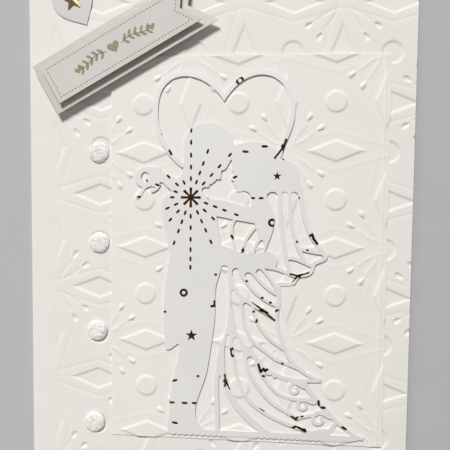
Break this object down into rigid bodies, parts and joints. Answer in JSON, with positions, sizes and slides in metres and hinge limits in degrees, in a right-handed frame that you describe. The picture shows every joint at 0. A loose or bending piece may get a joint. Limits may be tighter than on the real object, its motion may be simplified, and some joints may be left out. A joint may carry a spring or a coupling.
{
  "type": "greeting card",
  "caption": "Folded greeting card with an embossed panel, a die-cut wedding couple under a heart, a raised fishtail banner, a heart tag and glitter gems.",
  "frame": {"origin": "middle of the back leaf's outer face, which the closed card lies on", "axes": "+X from the fold towards the free edge, +Y towards the card's top, +Z out of the front"},
  "size_m": [0.127, 0.1778, 0.0063],
  "materials": {
    "white_card": "matt embossed card",
    "ivory_card": "matt embossed card",
    "pearl_card": "smooth pearl card",
    "glitter_card": "pearly glitter card",
    "printed_card": "matt printed card",
    "gold_foil": "metallic gold plastic",
    "glitter": "iridescent glitter in clear resin",
    "foam": "white foam"
  },
  "bodies": {
    "root": {"card_base": "white_card", "embossed_panel": "ivory_card", "couple_die_cut": "pearl_card", "banner_back": "glitter_card", "banner_front": "printed_card", "heart_tag": "pearl_card", "gold_star": "gold_foil", "pad_under_banner_1": "foam", "pad_under_banner_2": "foam", "pad_in_banner_1": "foam", "pad_in_banner_2": "foam", "glitter_gem_1": "glitter", "glitter_gem_2": "glitter", "glitter_gem_3": "glitter", "glitter_gem_4": "glitter"}
  },
  "joints": []
}
